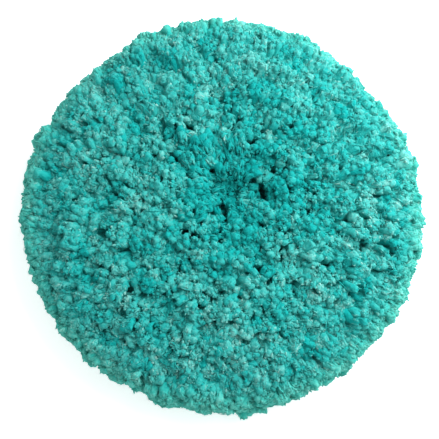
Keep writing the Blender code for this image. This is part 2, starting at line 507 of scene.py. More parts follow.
def gap_frame(x, y, degrees):
    """A dark gap's middle, and its directions along and across."""
    turn = math.radians(degrees)
    along = np.array([-math.sin(turn), math.cos(turn)])
    across = np.array([math.cos(turn), math.sin(turn)])
    return np.array([x, y]), along, across


def part_at_gaps(paths, tips):
    """Pushes the plies' middle lines sideways out of the dark gaps, each to the side that its tip is on."""
    for x, y, half_length, degrees, clearance in DARK_GAPS:
        middle, along, across = gap_frame(x, y, degrees)
        flat = paths[..., :2] - middle
        side = np.where((tips[:, :2] - middle) @ across > 0, 1.0, -1.0)[:, None]
        away = flat @ across * side
        taper = np.sqrt(np.clip(1 - (flat @ along / (half_length + GAP_TAPER)) ** 2, 0, 1))
        push = np.where(away > -2 * clearance, np.maximum(clearance * taper - away, 0), 0)
        floor = GAP_FLOOR - GAP_FLOOR_DROP * hollow(middle[None])[0]
        push = push * (taper > 0) * ease(paths[..., 2], floor - GAP_FLOOR_FADE, floor)
        paths[..., :2] += (push * side)[..., None] * across
    return paths


def in_dark_gap(points, width):
    """Whether each point lies over a dark gap, as wide as the share width of its clearance on either side."""
    found = np.zeros(len(points), dtype=bool)
    for x, y, half_length, degrees, clearance in DARK_GAPS:
        middle, along, across = gap_frame(x, y, degrees)
        flat = points[:, :2] - middle
        found |= (flat @ along / half_length) ** 2 + (flat @ across / (clearance * width)) ** 2 < 1
    return found


def clear_of_gaps(lines):
    """Whether each strand, (strands, rings, 3), leaves the dark gaps open."""
    return ~in_dark_gap(lines.reshape(-1, 3), GAP_KEPT_OPEN).reshape(lines.shape[:2]).any(axis=1)


def gap_shade(centres):
    """Painted shade for every ring: 1 deep in a dark gap, and 0 at the surface and elsewhere."""
    flat = centres.reshape(-1, 3)
    depth = PILE_TOP - hollow(flat) - flat[:, 2]
    return (ease(depth, *GAP_SHADE_DEPTHS) * in_dark_gap(flat, 1.0)).reshape(centres.shape[:2])


def stand_tufts(rng):
    """The tufts' roots, tips, outward normals, angles about Z, and fractional rows and rows."""
    order = np.concatenate([np.arange(TOP_TUFTS), np.arange(DEEP_TUFTS)])
    deep = np.arange(TUFTS) >= TOP_TUFTS
    share = (order + 0.5) / np.where(deep, DEEP_TUFTS, TOP_TUFTS)
    angle = golden(order)
    tips, normals = surface_points(np.where(deep, 0, share), angle, pile_profile())
    tips[deep] = around_z(DEEP_REACH * np.sqrt(share), angle, PILE_TOP - DEEP_DROP)[deep]
    tips[deep, :2] += EYE * DEEP_EYE_SHARE
    root_area = ROOT_OUTER_RADIUS**2 - ROOT_INNER_RADIUS**2
    share = np.where(deep, share * DEEP_ROOT_SHARE, share)
    root_radius = np.sqrt(ROOT_INNER_RADIUS**2 + share * root_area)
    roots = around_z(root_radius, angle, ROOT_HEIGHT)
    roots[:, :2] += rng.normal(0, ROOT_JITTER, (TUFTS, 2))
    reach = (root_radius - ROOT_INNER_RADIUS) / (ROOT_OUTER_RADIUS - ROOT_INNER_RADIUS) * ROWS
    return {
        "roots": roots,
        "tips": tips,
        "normals": normals,
        "angle": angle,
        "reach": reach,
        "row": np.minimum(reach.astype(int), ROWS - 1),
    }


def lean_tufts(pile, rng):
    """The way that each tuft's tip points, how near the tuft is to the eye, and the way to the eye."""
    lean = INNER_LEAN + (OUTER_LEAN - INNER_LEAN) * (pile["reach"] / ROWS) ** LEAN_POWER
    up = np.array([0.0, 0.0, 1.0])
    ways = around_z(1, pile["angle"], 0) * np.sin(lean)[:, None] + up * np.cos(lean)[:, None]
    above_rim = ease(pile["tips"][:, 2], RIM_HEIGHT, PILE_TOP)[:, None]
    standing = pile["normals"] + up * UPRIGHT * above_rim
    ways = ways * (1 - TIP_STANDS) + standing * TIP_STANDS
    near_eye = np.exp(-((from_eye(pile["tips"]) / EYE_REACH) ** 2))
    to_eye = unit(np.column_stack([EYE - pile["tips"][:, :2], np.zeros(TUFTS)]) + 1e-6)
    ways = unit(ways + to_eye * near_eye[:, None] * EYE_LEAN + rng.normal(0, LEAN_JITTER, ways.shape))
    return {"ways": ways, "near_eye": near_eye, "to_eye": to_eye}


def part_plies(pile, rng):
    """Each ply's tuft, its turn about the tuft, and its own tip."""
    normals = pile["normals"]
    tuft = np.repeat(np.arange(TUFTS), PLIES)
    start = np.repeat(rng.uniform(0, 2 * math.pi, TUFTS), PLIES)
    spin = start + np.tile(np.arange(PLIES), TUFTS) * 2 * math.pi / PLIES
    across = unit(np.cross(normals, pile["ways"] + rng.normal(0, PARTING_JITTER, normals.shape)))
    beside = np.cross(normals, across)
    spread = swing(across[tuft], beside[tuft], spin)
    jitter = rng.normal(0, TIP_JITTER, (TUFTS, 3))
    tips = press_apart(pile["tips"][tuft] + jitter[tuft] + spread * PLY_SPREAD, normals[tuft])
    swell = hills(tips, SWELL) + rng.normal(0, OWN_RISE, len(tips))
    swell *= 1 - RIM_LOSS * ease(from_z(tips), *RIM_BAND)
    tips = press_edge(tips + normals[tuft] * (swell - BUD_RADIUS)[:, None])
    tips[:, 2] -= dimple(tips)
    return {"tuft": tuft, "spin": spin, "ply_tips": tips}


def lay_out(rng):
    """Where the tufts and their plies stand and lean, as one dictionary of arrays."""
    pile = stand_tufts(rng)
    pile.update(lean_tufts(pile, rng))
    pile.update(part_plies(pile, rng))
    return pile


# ---- yarn

def bezier(start, rise, run, end, t):
    """Points along one cubic curve per row of the ends, at the values t."""
    t = t[None, :, None]
    s = 1 - t
    return (
        start[:, None] * s**3
        + rise[:, None] * 3 * s * s * t
        + run[:, None] * 3 * s * t * t
        + end[:, None] * t**3
    )


def ply_paths(pile, rng):
    """The middle line of every ply: twisted with its tuft below, and opening and curling over at the tip."""
    tuft = pile["tuft"]
    count = len(tuft)
    t = 1 - (1 - np.linspace(0, 1, PLY_RINGS)) ** RING_EASE
    tips = np.zeros((TUFTS, 3))
    np.add.at(tips, tuft, pile["ply_tips"] / PLIES)
    rise = pile["roots"] + np.array([0, 0, ROOT_RISE])
    run = tips - pile["ways"] * TIP_RUN
    middle = bezier(pile["roots"], rise, run, tips, t)[tuft]

    sideways = unit(np.cross(pile["ways"], rng.normal(size=(TUFTS, 3))))
    third = np.cross(pile["ways"], sideways)
    turn = pile["spin"][:, None] + TWIST * t[None, :]
    twist = swing(sideways[tuft][:, None], third[tuft][:, None], turn)
    opened = ease(t, *OPENS)[None, :, None]
    own = (pile["ply_tips"] - tips[tuft])[:, None]
    paths = middle + twist * PLY_RADIUS * TWIST_WIDTH * (1 - opened) + own * opened

    normals = pile["normals"][tuft]
    curl = rng.normal(size=(count, 3))
    combed = combing(pile["ply_tips"])
    near_eye = pile["near_eye"][tuft]
    curl += pile["to_eye"][tuft] * (EYE_PULL * near_eye + COMBED_PULL * combed)[:, None]
    curl = unit(without(curl, normals))
    reach = rng.uniform(*CURL_REACH, count) * (1 + EYE_CURL * near_eye) + COMBED_CURL * combed
    bent = ease(t, *CURLS)[None, :, None]
    paths = paths + curl[:, None] * reach[:, None, None] * (bent - CURL_BACK * opened)
    paths = paths - normals[:, None] * (reach * CURL_DROP)[:, None, None] * bent**2
    return part_at_gaps(paths, pile["ply_tips"]), t


def ply_radii(tips, t, rng):
    """The lumpy radius of every ply at each ring and side: slim below, swollen at the tip and rounded off."""
    around = round_circle(PLY_SIDES)
    base = PLY_RADIUS + (BUD_RADIUS - PLY_RADIUS) * ease(t, *SWELLS)
    close = np.clip((t - (1 - BUD_RADIUS / TIP_PACE)) / (BUD_RADIUS / TIP_PACE), 0, 0.97)
    base = base * np.sqrt(1 - close**2)
    count = len(tips)
    size = np.clip(rng.lognormal(0, 0.18, count) * crowding(tips), *BUD_SIZES)
    lumps = rng.normal(0, 0.05, (count, PLY_RINGS, PLY_SIDES))
    for turns, pace, depth in LUMPS:
        start = rng.uniform(0, 2 * math.pi, (count, 1, 1))
        lumps += depth * np.sin(turns * around[None, None, :] + pace * t[None, :, None] + start)
    return base[None, :, None] * size[:, None, None] * (1 + lumps)


def sweep(centres, radii):
    """The points of tubes: centres is (tubes, rings, 3), and radii is (tubes, rings, sides)."""
    ahead = unit(np.gradient(centres, axis=1))
    side = np.cross(ahead[:, 0], np.array([0.31, 0.93, 0.17]))
    turn = round_circle(radii.shape[2])
    points = np.empty(radii.shape + (3,))
    for ring in range(radii.shape[1]):
        along = ahead[:, ring]
        side = unit(without(side, along))
        spokes = swing(side[:, None], np.cross(along, side)[:, None], turn)
        points[:, ring] = centres[:, ring, None] + spokes * radii[:, ring, :, None]
    return points


def tube_faces(tubes, rings, sides):
    """The corner indices and the corner counts of the faces of closed tubes."""
    corner = np.arange(rings * sides).reshape(rings, sides)
    after = np.roll(corner, -1, axis=1)
    walls = np.stack([corner[:-1], after[:-1], after[1:], corner[1:]], axis=-1).reshape(-1)
    one = np.concatenate([walls, corner[0][::-1], corner[-1]])
    sizes = np.concatenate([np.full((rings - 1) * sides, 4), [sides, sides]])
    corners = (np.arange(tubes)[:, None] * rings * sides + one).reshape(-1)
    return corners, np.tile(sizes, tubes)


def link_object(name, data):
    """A new object of the data, in the scene."""
    made = bpy.data.objects.new(name, data)
    bpy.context.scene.collection.objects.link(made)
    return made


def part_of(points, corners, sizes, **values):
    """A part for make_piece, with a vector for every point under each of the values' names."""
    flat = {key: value.reshape(-1, 3) for key, value in values.items()}
    return {"points": points.reshape(-1, 3), "corners": corners, "sizes": sizes, "values": flat}


def make_piece(name, parts, material, node):
    """One object from parts that part_of made, which rides on the pad and stands for its CAD node."""
    mesh = bpy.data.meshes.new(name)
    points = np.concatenate([part["points"] for part in parts])
    first = np.cumsum([0] + [len(part["points"]) for part in parts])[:-1]
    corners = np.concatenate([part["corners"] + start for part, start in zip(parts, first)])
    sizes = np.concatenate([part["sizes"] for part in parts])
    mesh.vertices.add(len(points))
    mesh.vertices.foreach_set("co", points.astype(np.float32).ravel())
    mesh.loops.add(len(corners))
    mesh.loops.foreach_set("vertex_index", corners.astype(np.int32))
    mesh.polygons.add(len(sizes))
    mesh.polygons.foreach_set("loop_start", (np.cumsum(sizes) - sizes).astype(np.int32))
    for key in parts[0]["values"]:
        values = np.concatenate([part["values"][key] for part in parts]).astype(np.float32)
        mesh.attributes.new(key, "FLOAT_VECTOR", "POINT").data.foreach_set("vector", values.ravel())
    mesh.update(calc_edges=True)
    mesh.shade_smooth()
    mesh.materials.append(material)
    piece = link_object(name, mesh)
    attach(piece, "root")
    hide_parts(node)
    return piece


def strand_coordinates(centres, radii, rng):
    """Where each point lies on its own straightened tube, so that fibres run along the yarn."""
    tubes, rings, sides = radii.shape
    turn = round_circle(sides)
    steps = np.linalg.norm(np.diff(centres, axis=1), axis=2)
    length = np.concatenate([np.zeros((tubes, 1)), np.cumsum(steps, axis=1)], axis=1)
    found = np.empty(radii.shape + (3,))
    found[..., 0] = radii * np.cos(turn)
    found[..., 1] = radii * np.sin(turn)
    found[..., 2] = length[..., None]
    return found + rng.uniform(0, 1, (tubes, 1, 1, 3))


def felted(points, centres):
    """The points of tubes, swollen and pinched at random as felted wool is."""
    swell = hills(points.reshape(-1, 3), FELTING)
    off = points - centres[:, :, None]
    return points + off * swell.reshape(points.shape[:3])[..., None]


def tubes_part(points, centres, radii, normals, values, rng):
    """A part for make_piece, of tubes with their strand coordinates and yarn values, kept above LOWEST.

    The values are (tubes, rings, 3): nearness to the tip, tone and painted rim light. The first is lowered
    by painted shade on the side of a tube that looks into the pile.
    """
    points[..., 2] = np.maximum(points[..., 2], LOWEST)
    outward = (unit(points - centres[:, :, None] + 1e-9) * normals[:, None, None]).sum(axis=3)
    spread = np.repeat(values[:, :, None], radii.shape[2], axis=2)
    # Painted shade on the side of each tube that looks into the pile
    spread[..., 0] *= 1 - INWARD_SHADE_SHARE * (0.5 - 0.5 * outward)
    strand = strand_coordinates(centres, radii, rng)
    return part_of(points, *tube_faces(*radii.shape), strand=strand, yarn=spread)


def on_tubes(points, centres, tube, ring, side, lift):
    """Points on the skin of tubes, at fractional rings and sides, moved outward by the share lift."""
    low = np.clip(np.floor(ring).astype(int), 0, points.shape[1] - 2)
    part = (ring - low)[..., None]
    left = np.floor(side).astype(int)
    turn = (side - left)[..., None]
    left = left % points.shape[2]
    right = (left + 1) % points.shape[2]
    below = points[tube, low, left] * (1 - turn) + points[tube, low, right] * turn
    above = points[tube, low + 1, left] * (1 - turn) + points[tube, low + 1, right] * turn
    skin = below * (1 - part) + above * part
    middle = centres[tube, low] * (1 - part) + centres[tube, low + 1] * part
    return middle + (skin - middle) * (1 + lift)[..., None]


def curves(starts, controls, ends, rings):
    """Points along one quadratic curve per row of the ends."""
    t = np.linspace(0, 1, rings)[None, :, None]
    return starts[:, None] * (1 - t) ** 2 + controls[:, None] * 2 * t * (1 - t) + ends[:, None] * t * t


def locks(points, centres, normals, combed, rng):
    """Strands that a ply's tip opens into: each one's ply, middle line and radii."""
    ply = np.repeat(np.arange(len(points)), LOCKS_PER_PLY)
    count = len(ply)
    side = np.tile(np.arange(LOCKS_PER_PLY), len(points)) * PLY_SIDES / LOCKS_PER_PLY
    side = side + rng.normal(0, 0.5, count)
    foot = on_tubes(points, centres, ply, rng.uniform(*LOCK_FEET, count), side, np.zeros(count))
    bend = on_tubes(points, centres, ply, np.full(count, LOCK_BEND), side, rng.uniform(0.0, 0.30, count))
    tip = centres[ply, -1]
    splay = unit(without(bend - centres[ply, -3], normals[ply]) + 1e-9)
    splay = unit(splay + combed[ply] * LOCK_COMBING[0])
    reach = LOCK_SPREAD * np.sqrt(rng.uniform(0.02, 1.2, (count, 1)))
    reach = reach * (1 + LOCK_COMBING[1] * np.linalg.norm(combed[ply], axis=1, keepdims=True))
    height = rng.normal(0.0001, 0.0003, (count, 1)) - reach**2 * LOCK_CURL
    end = tip + splay * reach + normals[ply] * height + rng.normal(0, 0.0004, (count, 3))
    lines = curves(foot, bend, end, LOCK_RINGS)
    thickness = LOCK_RADIUS * rng.lognormal(0, 0.25, (count, 1)) * LOCK_TAPER
    lumps = rng.lognormal(0, 0.12, (count, LOCK_RINGS, LOCK_SIDES))
    kept = clear_of_gaps(lines)
    return ply[kept], lines[kept], (thickness[:, :, None] * lumps)[kept]


def fuzz(points, centres, rng):
    """Loose fibres that stand off the plies' tips: each one's ply, middle line and radii."""
    ply = rng.integers(0, len(points), FUZZ_FIBRES)
    ring = rng.uniform(*FUZZ_FEET, FUZZ_FIBRES)
    side = rng.uniform(0, PLY_SIDES, FUZZ_FIBRES)
    foot = on_tubes(points, centres, ply, ring, side, np.full(FUZZ_FIBRES, -0.1))
    beyond = on_tubes(points, centres, ply, ring, side, np.full(FUZZ_FIBRES, 0.9))
    way = unit(unit(beyond - foot) + rng.normal(0, 0.55, (FUZZ_FIBRES, 3)))
    bend = rng.normal(0, 0.5, (FUZZ_FIBRES, 3))
    low = foot[:, 2] < FUZZ_LOWEST
    way[low, 2] = np.abs(way[low, 2])
    bend[low, 2] = np.abs(bend[low, 2])
    length = rng.uniform(*FUZZ_LENGTH, (FUZZ_FIBRES, 1))
    t = np.linspace(0, 1, len(FUZZ_RADII))[None, :, None]
    lines = foot[:, None] + (way * length)[:, None] * t + (bend * length)[:, None] * t * t
    kept = clear_of_gaps(lines)
    radii = np.tile(np.array(FUZZ_RADII)[None, :, None], (kept.sum(), 1, STRAND_SIDES))
    return ply[kept], lines[kept], radii


def outermost(choices, normals):
    """Of the choices of point for each strand, (choices, strands, 3), the one furthest out of the pile."""
    best = (choices * normals).sum(axis=2).argmax(axis=0)
    return choices[best, np.arange(len(normals))]


def crossings(points, centres, tips, normals, rng):
    """Strands that lie across from one tip to the next: each one's ply, middle line and radii."""
    pairs = pairs_within(tips, PLY_SPACING * 1.3)
    pair = pairs[rng.integers(0, len(pairs), CROSSINGS)]
    ends = []
    for ply in (pair[:, 0], pair[:, 1]):
        ring = rng.uniform(*CROSSING_FEET, (3, CROSSINGS))
        side = rng.uniform(0, PLY_SIDES, (3, CROSSINGS))
        tube = np.broadcast_to(ply, ring.shape)
        choices = on_tubes(points, centres, tube, ring, side, rng.uniform(-0.05, 0.25, ring.shape))
        ends.append(outermost(choices, normals[ply]))
    out = normals[pair[:, 0]]
    rise = out * rng.uniform(*CROSSING_RISE, (CROSSINGS, 1)) + rng.normal(0, 0.0007, (CROSSINGS, 3))
    middle = (ends[0] + ends[1]) / 2 + rise
    lines = curves(ends[0], middle, ends[1], CROSSING_RINGS)
    taper = 0.45 + 0.55 * np.sin(math.pi * np.linspace(0.04, 0.96, CROSSING_RINGS))
    thickness = CROSSING_RADIUS * rng.lognormal(0, 0.35, (CROSSINGS, 1)) * taper
    kept = clear_of_gaps(lines)
    return pair[kept, 0], lines[kept], np.repeat(thickness[kept, :, None], STRAND_SIDES, axis=2)


def rim_light_at(centres):
    """1 at the pad's outer edge, where painted light makes the wool paler, and 0 further in."""
    return ease(from_z(centres), *RIM_LIGHT_BAND)


def yarn_values(centres, nearness, tone):
    """The values that the wool material reads, for every ring: nearness to the tip, lowered by painted shade
    deep in the dark gaps, tone, and painted rim light.
    """
    shape = centres.shape[:2]
    tones = np.broadcast_to(tone[:, None], shape)
    # Painted shade deep in the dark gaps lowers the nearness, which darkens the wool
    return np.stack([nearness * (1 - gap_shade(centres)), tones, rim_light_at(centres)], axis=2)


def make_pile(material):
    """The rings of tufts: each one's plies and strands are two pieces that stand for its CAD ring."""
    rng = np.random.default_rng(SEED)
    pile = lay_out(rng)
    centres, t = ply_paths(pile, rng)
    count = len(centres)
    radii = ply_radii(pile["ply_tips"], t, rng)
    tuft = pile["tuft"]
    normals = pile["normals"][tuft]
    points = felted(sweep(centres, radii), centres)
    # Painted shade deepens the tone in the hollow at the eye
    tone = TONE + hills(pile["ply_tips"], TONE_PATCHES) + EYE_SHADE * pile["near_eye"][tuft]
    tone = tone + rng.normal(0, TUFT_TONES, TUFTS)[tuft] + rng.normal(0, PLY_TONES, count)

    layers = [(np.arange(count), points, centres, radii, yarn_values(centres, t, tone))]
    combed = pile["to_eye"][tuft] * combing(pile["ply_tips"])[:, None]
    strands = [
        (*locks(points, centres, normals, combed, rng), LOCK_TONE),
        (*crossings(points, centres, pile["ply_tips"], normals, rng), CROSSING_TONE),
        (*fuzz(points, centres, rng), FUZZ_TONE),
    ]
    for ply, lines, thickness, (shift, spread) in strands:
        own_tone = tone[ply] + rng.normal(shift, spread, len(ply))
        layers.append((ply, sweep(lines, thickness), lines, thickness, yarn_values(lines, 1.0, own_tone)))

    for row in range(ROWS):
        parts = []
        for ply, layer_points, layer_centres, layer_radii, values in layers:
            mine = pile["row"][tuft[ply]] == row
            shape = (layer_points[mine], layer_centres[mine], layer_radii[mine])
            parts.append(tubes_part(*shape, normals[ply[mine]], values[mine], rng))
        node = f"tuft_row_{row + 1:02d}"
        for kind, some in (("plies", parts[:1]), ("strands", parts[1:])):
            piece = make_piece(f"{kind}_of_{node}", some, material, node)


# ---- the sewn backing

def rounded(corners, step, rounds):
    """A closed outline through the corners, with a point about every step, and its corners worn round."""
    corners = np.array(corners)
    runs = []
    for a, b in zip(corners, np.roll(corners, -1, axis=0)):
        count = max(2, int(round(np.linalg.norm(b - a) / step)))
        runs.append(a + (b - a) * (np.arange(count) / count)[:, None])
    points = np.concatenate(runs)
    for _ in range(rounds):
        points = (np.roll(points, 1, axis=0) + 2 * points + np.roll(points, -1, axis=0)) / 4
    return points


def turned(name, outline, sectors, swell, node, material):
    """A closed outline of radii and heights, turned round Z, with its skin moved outward by swell(points)."""
    angle = round_circle(sectors)
    ahead = unit(np.roll(outline, -1, axis=0) - np.roll(outline, 1, axis=0))
    ways = around_z(ahead[:, 1], angle[:, None], -ahead[:, 0]).reshape(-1, 3)
    points = around_z(outline[:, 0], angle[:, None], outline[:, 1]).reshape(-1, 3)
    corner = np.arange(sectors * len(outline)).reshape(sectors, len(outline))
    beside = np.roll(corner, -1, axis=0)
    corners = np.stack([corner, beside, np.roll(beside, -1, axis=1), np.roll(corner, -1, axis=1)], axis=-1)
    along = np.concatenate([[0], np.cumsum(np.linalg.norm(np.diff(outline, axis=0), axis=1))])
    turns = np.repeat(angle, len(outline))
    cloth = np.stack([turns * outline[:, 0].max(), np.tile(along, sectors), np.zeros(len(turns))], axis=1)
    moved = points + ways * swell(points)[:, None]
    part = part_of(moved, corners.reshape(-1), np.full(corner.size, 4), cloth=cloth)
    make_piece(name, [part], material, node)


def ring_section(inner, outer, bottom, top, step):
    """The worn outline of a flat ring's section, with a point about every step."""
    return rounded([(inner, bottom), (outer, bottom), (outer, top), (inner, top)], step, 2)


def layer(name, node, material, height, wavelength):
    """A flat layer of the backing, in its CAD node's place, with a skin that rises and falls by height."""
    low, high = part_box(node)

    def swell(points):
        return height * (ripples(points, 41, wavelength) + 0.5 * ripples(points, 42, wavelength / 3) - 1.5)

    outline = ring_section(LAYER_INNER_RADIUS, high[0], low[2], high[2], LAYER_STEP)
    turned(name, outline, LAYER_SECTORS, swell, node, material)


def folded_tape(name, node, wall_radius, leg_end, seam, stitches, material):
    """Tape folded round an edge of the backing, that its seam pulls in at every stitch."""
    low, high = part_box(node)
    inward = TAPE_THICKNESS if leg_end > wall_radius else -TAPE_THICKNESS
    corners = [
        (leg_end, low[2]),
        (wall_radius, low[2]),
        (wall_radius, high[2]),
        (leg_end, high[2]),
        (leg_end, high[2] - TAPE_THICKNESS),
        (wall_radius + inward, high[2] - TAPE_THICKNESS),
        (wall_radius + inward, low[2] + TAPE_THICKNESS),
        (leg_end, low[2] + TAPE_THICKNESS),
    ]
    if leg_end > wall_radius:
        corners.reverse()
    outline = rounded(corners, TAPE_STEP, 3)

    def swell(points):
        turns = np.arctan2(points[:, 1], points[:, 0])
        pull = np.exp(-(((from_z(points) - seam) / TAPE_PULL_WIDTH) ** 2))
        pull = pull * (0.65 + 0.35 * np.cos(turns * stitches))
        skin = (points[:, 2] < low[2] + 0.0002) | (points[:, 2] > high[2] - 0.0002)
        return hills(points, TAPE_HILLS) - TAPE_PULL_DEPTH * pull * skin - TAPE_INSET

    turned(name, outline, 4 * stitches, swell, node, material)


def seam_radius(node):
    """The radius of the middle of a seam's thread."""
    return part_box(node)[1][0] - STITCH_STEP - THREAD_RADIUS


def stitches_at(radius, count, surface, below):
    """The middle lines of the stitches of a seam: each rises from one hole and dips into the next."""
    start = (np.arange(count) + (1 - STITCH_SHARE) / 2)[:, None] * 2 * math.pi / count
    t = np.linspace(0, 1, STITCH_RINGS)[None, :]
    turn = start + t * STITCH_SHARE * 2 * math.pi / count
    dip = STITCH_DEPTH * (1 - np.sqrt(np.clip(1 - (2 * t - 1) ** 4, 0, 1)))
    slant = radius + STITCH_SLANT * np.sin((2 * t - 1) * math.pi / 2)
    return around_z(slant, turn, surface + dip * (1 if below else -1))


def threads_part(lines, radii, rng):
    """A part for make_piece, of tubes with their place on their own straightened thread."""
    cloth = strand_coordinates(lines, radii, rng)
    return part_of(sweep(lines, radii), *tube_faces(*radii.shape), cloth=cloth)


def stitched_seam(node, count, below, material, rng):
    """A seam's separate stitches, in its CAD node's place, each one a twisted thread."""
    low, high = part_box(node)
    lines = stitches_at(seam_radius(node), count, (low[2] + high[2]) / 2, below)
    t = np.linspace(0, 1, STITCH_RINGS)
    turn = round_circle(STITCH_SIDES)
    plies = 1 + 0.16 * np.cos(THREAD_PLIES * turn[None, :] + THREAD_TWIST * t[:, None])
    radii = THREAD_RADIUS * plies[None] * rng.normal(1, 0.06, (count, 1, 1))
    make_piece(f"stitches_of_{node}", [threads_part(lines, radii, rng)], material, node)


def loop_pile(material, seams, rng):
    """The brushed loops of the loop fabric, that hang from its cloth and leave the seams bare."""
    inner = LOOP_INNER_RADIUS + LOOP_MARGIN
    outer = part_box("loop_disc")[1][0] - LOOP_MARGIN
    order = np.arange(LOOPS)
    angle = golden(order) + rng.normal(0, 0.3, LOOPS) / LOOPS**0.5
    radius = np.sqrt(inner**2 + (order + 0.5) / LOOPS * (outer**2 - inner**2))
    for seam in seams:
        away = radius - seam
        beside = seam + np.sign(away) * LOOP_SEAM_MARGIN
        radius = np.where(np.abs(away) < LOOP_SEAM_MARGIN, beside, radius)
    foot = around_z(radius, angle, LOOP_CLOTH_BOTTOM + 0.0001)
    foot[:, :2] += rng.normal(0, 0.00035, (LOOPS, 2))
    way = rng.uniform(0, 2 * math.pi, LOOPS)
    other = foot + around_z(rng.uniform(*LOOP_WIDTH, LOOPS), way, 0)
    drop = rng.uniform(*LOOP_DROP, (LOOPS, 1)) * np.array([[0, 0, -1.0]])
    lean = np.column_stack([rng.normal(0, 0.0006, (LOOPS, 2)), np.zeros(LOOPS)])
    lines = curves(foot, (foot + other) / 2 + drop + lean, other, LOOP_RINGS)
    radii = np.tile(rng.uniform(*LOOP_RADIUS, (LOOPS, 1, 1)), (1, LOOP_RINGS, STRAND_SIDES))
    part = threads_part(lines, radii, rng)
    make_piece("loops_of_loop_disc", [part], material, "loop_disc")


def make_backing():
    """The layers, tapes, seams and loops under the wool."""
    rng = np.random.default_rng(SEED + 1)
    layer("woven_canvas", "tufting_canvas", canvas_material(), 0.00003, 0.006)
    layer("dried_latex", "latex_coat", latex_material(), 0.00006, 0.004)
    layer("needled_felt", "stiffening_felt", felt_material(), 0.00008, 0.009)

    tape = tape_material()
    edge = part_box("edge_binding")[1][0]
    edge_seam = seam_radius("edge_seam_needle_thread")
    folded_tape("edge_tape", "edge_binding", edge, 2 * edge_seam - edge, edge_seam, EDGE_STITCHES, tape)
    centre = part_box("centre_binding")[1][0]
    centre_seam = seam_radius("centre_seam_needle_thread")
    folded_tape("centre_tape", "centre_binding", HOLE_RADIUS, centre, centre_seam, CENTRE_STITCHES, tape)

    thread = thread_material()
    for node, count, below in SEAMS:
        stitched_seam(node, count, below, thread, rng)
    make_loop_disc([seam_radius(f"loop_disc_{side}_seam") for side in ("outer", "inner")], rng)


def make_loop_disc(seams, rng):
    """The loop fabric's cloth, that the seams pull in, and the loops that hang from it."""
    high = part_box("loop_disc")[1]
    fabric = loop_material()

    def swell(points):
        pull = sum(np.exp(-(((from_z(points) - seam) / LOOP_PULL_WIDTH) ** 2)) for seam in seams)
        return hills(points, LOOP_HILLS) - LOOP_PULL_DEPTH * pull - LOOP_INSET

    outline = ring_section(LOOP_INNER_RADIUS, high[0], LOOP_CLOTH_BOTTOM, high[2], LOOP_STEP)
    turned("knit_of_loop_disc", outline, LOOP_SECTORS, swell, "loop_disc", fabric)
    loop_pile(fabric, seams, rng)


# ---- materials

def new_material(name):
    """A new material, its node tree and its Principled shader."""
    made = bpy.data.materials.new(name)
    made.use_nodes = True
    return made, made.node_tree, made.node_tree.nodes["Principled BSDF"]


def ramp(tree, stops):
    """A ColorRamp node with the stops (place, colour)."""
    node = tree.nodes.new("ShaderNodeValToRGB")
    elements = node.color_ramp.elements
    while len(elements) < len(stops):
        elements.new(0.5)
    for element, (place, colour) in zip(elements, stops):
        element.position = place
        element.color = (*colour, 1)
    return node


def math_node(tree, operation, *values):
    """A Math node's output, from one to three values or sockets."""
    node = tree.nodes.new("ShaderNodeMath")
    node.operation = operation
    for socket, value in zip(node.inputs, values):
        if isinstance(value, (int, float)):
            socket.default_value = value
        else:
            tree.links.new(value, socket)
    return node.outputs[0]


def mix_node(tree, blend, factor, first, second):
    """A Mix node's colour, from a factor and two colours, each a value or a socket."""
    node = tree.nodes.new("ShaderNodeMix")
    node.data_type = "RGBA"
    node.blend_type = blend
    for name, value in (("Factor", factor), ("A", first), ("B", second)):
        sockets = [socket for socket in node.inputs if socket.name == name and socket.enabled]
        if isinstance(value, bpy.types.NodeSocket):
            tree.links.new(value, sockets[0])
        else:
            sockets[0].default_value = value
    return next(socket for socket in node.outputs if socket.enabled)


def attribute(tree, name):
    """The vector of a mesh attribute."""
    node = tree.nodes.new("ShaderNodeAttribute")
    node.attribute_name = name
    return node.outputs["Vector"]


def xyz(tree, vector):
    """The three outputs of a Separate XYZ node."""
    node = tree.nodes.new("ShaderNodeSeparateXYZ")
    tree.links.new(vector, node.inputs[0])
    return node.outputs


def object_place(tree):
    """The place on the object."""
    return tree.nodes.new("ShaderNodeTexCoord").outputs["Object"]


def noise_of(tree, vector, scale, detail=3):
    """A Noise node's value at a vector."""
    node = tree.nodes.new("ShaderNodeTexNoise")
    node.inputs["Scale"].default_value = scale
    node.inputs["Detail"].default_value = detail
    tree.links.new(vector, node.inputs["Vector"])
    return node.outputs["Fac"]


def raise_skin(tree, shader, height, strength, distance):
    """Links a height to the shader's normal through a Bump node."""
    bump = tree.nodes.new("ShaderNodeBump")
    bump.inputs["Strength"].default_value = strength
    bump.inputs["Distance"].default_value = distance
    tree.links.new(height, bump.inputs["Height"])
    tree.links.new(bump.outputs["Normal"], shader.inputs["Normal"])


